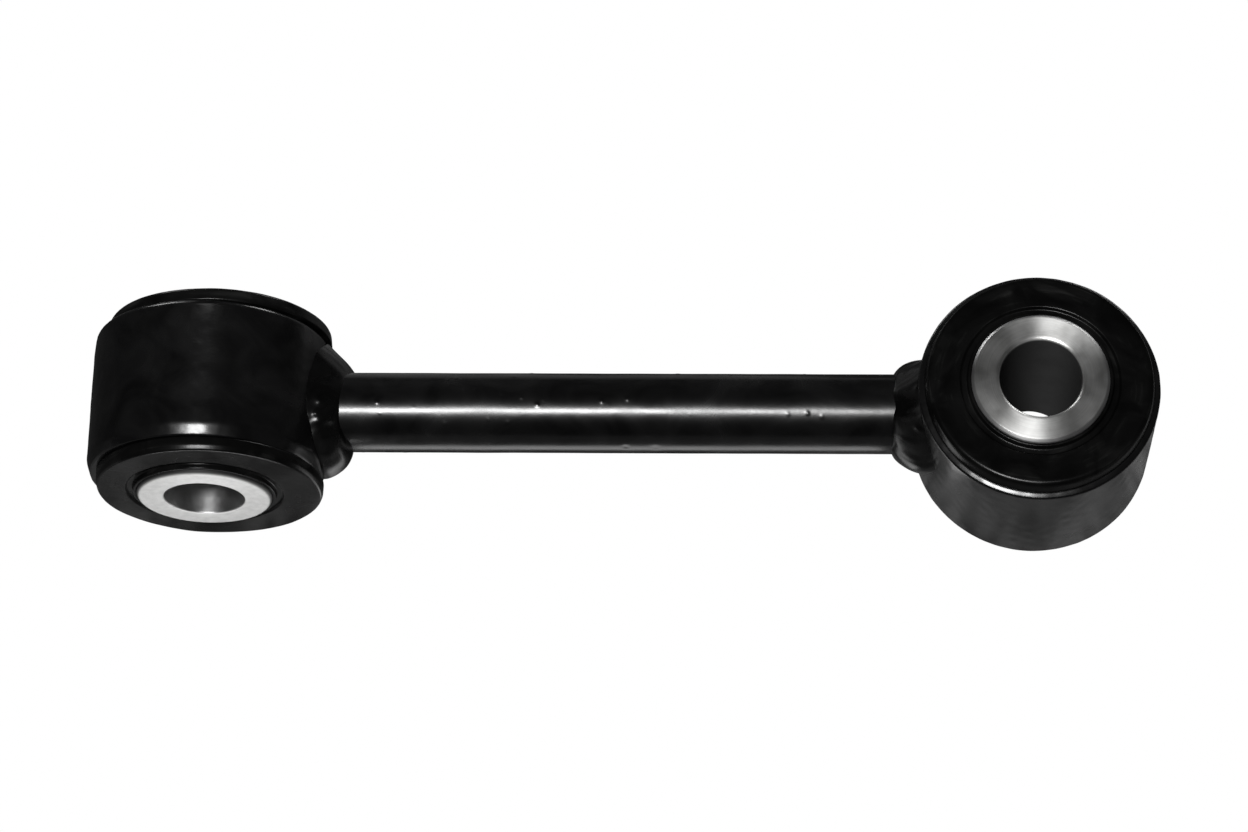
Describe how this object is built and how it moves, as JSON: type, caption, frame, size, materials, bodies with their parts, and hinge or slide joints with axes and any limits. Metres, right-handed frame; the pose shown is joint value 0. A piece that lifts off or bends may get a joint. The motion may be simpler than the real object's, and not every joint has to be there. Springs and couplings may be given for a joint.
{
  "type": "stabilizer link",
  "caption": "Short rigid stabilizer link: a painted round bar welded between ring eyes set square to each other, with a rubber bush and a steel bolt sleeve in each eye.",
  "frame": {"origin": "midway between the eye centres on the bar's axis, which is also the centre of the bounding box", "axes": "+X along the bar from the bar eye to the arm eye, +Y along the bar eye's bolt axis, +Z along the arm eye's bolt axis"},
  "size_m": [0.1614, 0.036, 0.036],
  "materials": {
    "black_paint": "gloss black paint on steel",
    "weld_paint": "gloss black paint over a rippled weld",
    "bush_rubber": "moulded black rubber, satin",
    "sleeve_steel": "turned bare steel"
  },
  "bodies": {
    "link": {"link_rod": "black_paint", "bar_eye_ring": "black_paint", "bar_eye_weld": "weld_paint", "arm_eye_ring": "black_paint", "arm_eye_weld": "weld_paint"},
    "bar_bush": {"bar_eye_bush": "bush_rubber"},
    "bar_sleeve": {"bar_eye_sleeve": "sleeve_steel"},
    "arm_bush": {"arm_eye_bush": "bush_rubber"},
    "arm_sleeve": {"arm_eye_sleeve": "sleeve_steel"}
  },
  "joints": [
    {"name": "bar_bush_tilt", "type": "hinge", "parent": "link", "child": "bar_bush", "pos_m": [-0.06275, 0, 0], "axis": [0, 0, 1], "range_deg": [-5, 5], "stiffness_Nm_per_rad": 260, "deforming": ["bar_eye_bush"]},
    {"name": "bar_sleeve_twist", "type": "hinge", "parent": "bar_bush", "child": "bar_sleeve", "pos_m": [-0.06275, 0, 0], "axis": [0, 1, 0], "range_deg": [-15, 15], "stiffness_Nm_per_rad": 55},
    {"name": "arm_bush_tilt", "type": "hinge", "parent": "link", "child": "arm_bush", "pos_m": [0.06275, 0, 0], "axis": [0, 1, 0], "range_deg": [-5, 5], "stiffness_Nm_per_rad": 260, "deforming": ["arm_eye_bush"]},
    {"name": "arm_sleeve_twist", "type": "hinge", "parent": "arm_bush", "child": "arm_sleeve", "pos_m": [0.06275, 0, 0], "axis": [0, 0, 1], "range_deg": [-15, 15], "stiffness_Nm_per_rad": 55}
  ]
}
